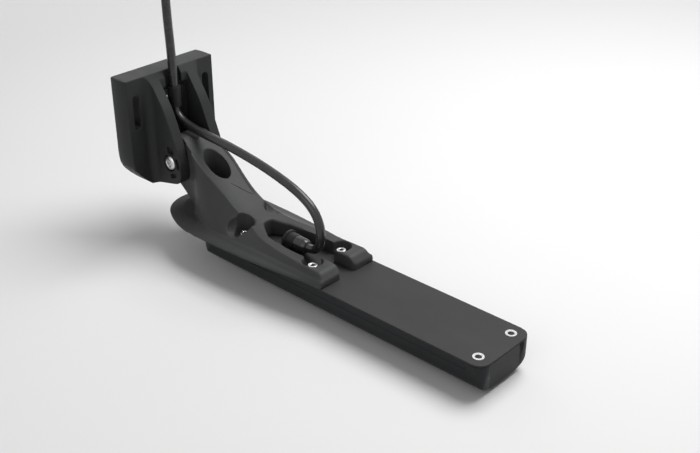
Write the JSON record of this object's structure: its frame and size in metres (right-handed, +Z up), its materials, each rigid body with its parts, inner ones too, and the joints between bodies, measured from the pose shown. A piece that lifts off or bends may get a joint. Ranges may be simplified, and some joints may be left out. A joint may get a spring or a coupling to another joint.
{
  "type": "sonar transducer",
  "caption": "Long slim transom-mount sonar transducer on a moulded arm with a spray skirt, pivoted in a two-eared slotted bracket, with its cable looped to a clip and a screw-on connector.",
  "frame": {"origin": "middle of the bracket's back face, at half the height of its two mounting slots", "axes": "+X aft, away from the transom; +Y across; +Z up"},
  "size_m": [0.3339, 0.0822, 0.2425],
  "materials": {
    "bracket_moulding": "satin moulded glass-filled plastic",
    "arm_moulding": "satin moulded glass-filled plastic",
    "cover_moulding": "fine satin",
    "hull_moulding": "smooth satin",
    "steel": "bright turned stainless steel",
    "bush_plastic": "plain",
    "brass": "turned",
    "gland_plastic": "satin",
    "cable_rubber": "satin jacket",
    "connector_plastic": "satin",
    "pin_gold": "plated",
    "element_ceramic": "fired ceramic",
    "potting_resin": "cast",
    "board": "solder mask"
  },
  "bodies": {
    "bracket": {"transom_bracket": "bracket_moulding", "pivot_bolt": "steel", "pivot_nut": "steel", "cable_clip": "gland_plastic", "clip_screw": "steel", "cable_lead": "cable_rubber", "connector_boot": "cable_rubber", "connector_body": "connector_plastic", "connector_pins": "pin_gold"},
    "sonar": {"mounting_arm": "arm_moulding", "pivot_bush_near": "bush_plastic", "pivot_bush_far": "bush_plastic", "top_cover": "cover_moulding", "hull_shell": "hull_moulding", "mount_screws": "steel", "mount_washers": "steel", "mount_inserts": "brass", "tail_inserts": "steel", "cable_gland": "gland_plastic", "cable_boot": "cable_rubber", "chirp_element": "element_ceramic", "down_element": "element_ceramic", "side_element_near": "element_ceramic", "side_element_far": "element_ceramic", "element_potting": "potting_resin", "circuit_board": "board", "temperature_probe": "brass", "cable_loop": "cable_rubber"},
    "collar": {"connector_collar": "connector_plastic"}
  },
  "joints": [
    {"name": "tilt", "type": "hinge", "parent": "bracket", "child": "sonar", "pos_m": [0.035, 0, -0.0399], "axis": [0, -1, 0], "range_deg": [-12, 22], "deforming": ["cable_loop"]},
    {"name": "collar_turn", "type": "hinge", "parent": "bracket", "child": "collar", "pos_m": [0.0206, -0.0006, 0.12], "axis": [0, 0, 1], "continuous": true}
  ]
}
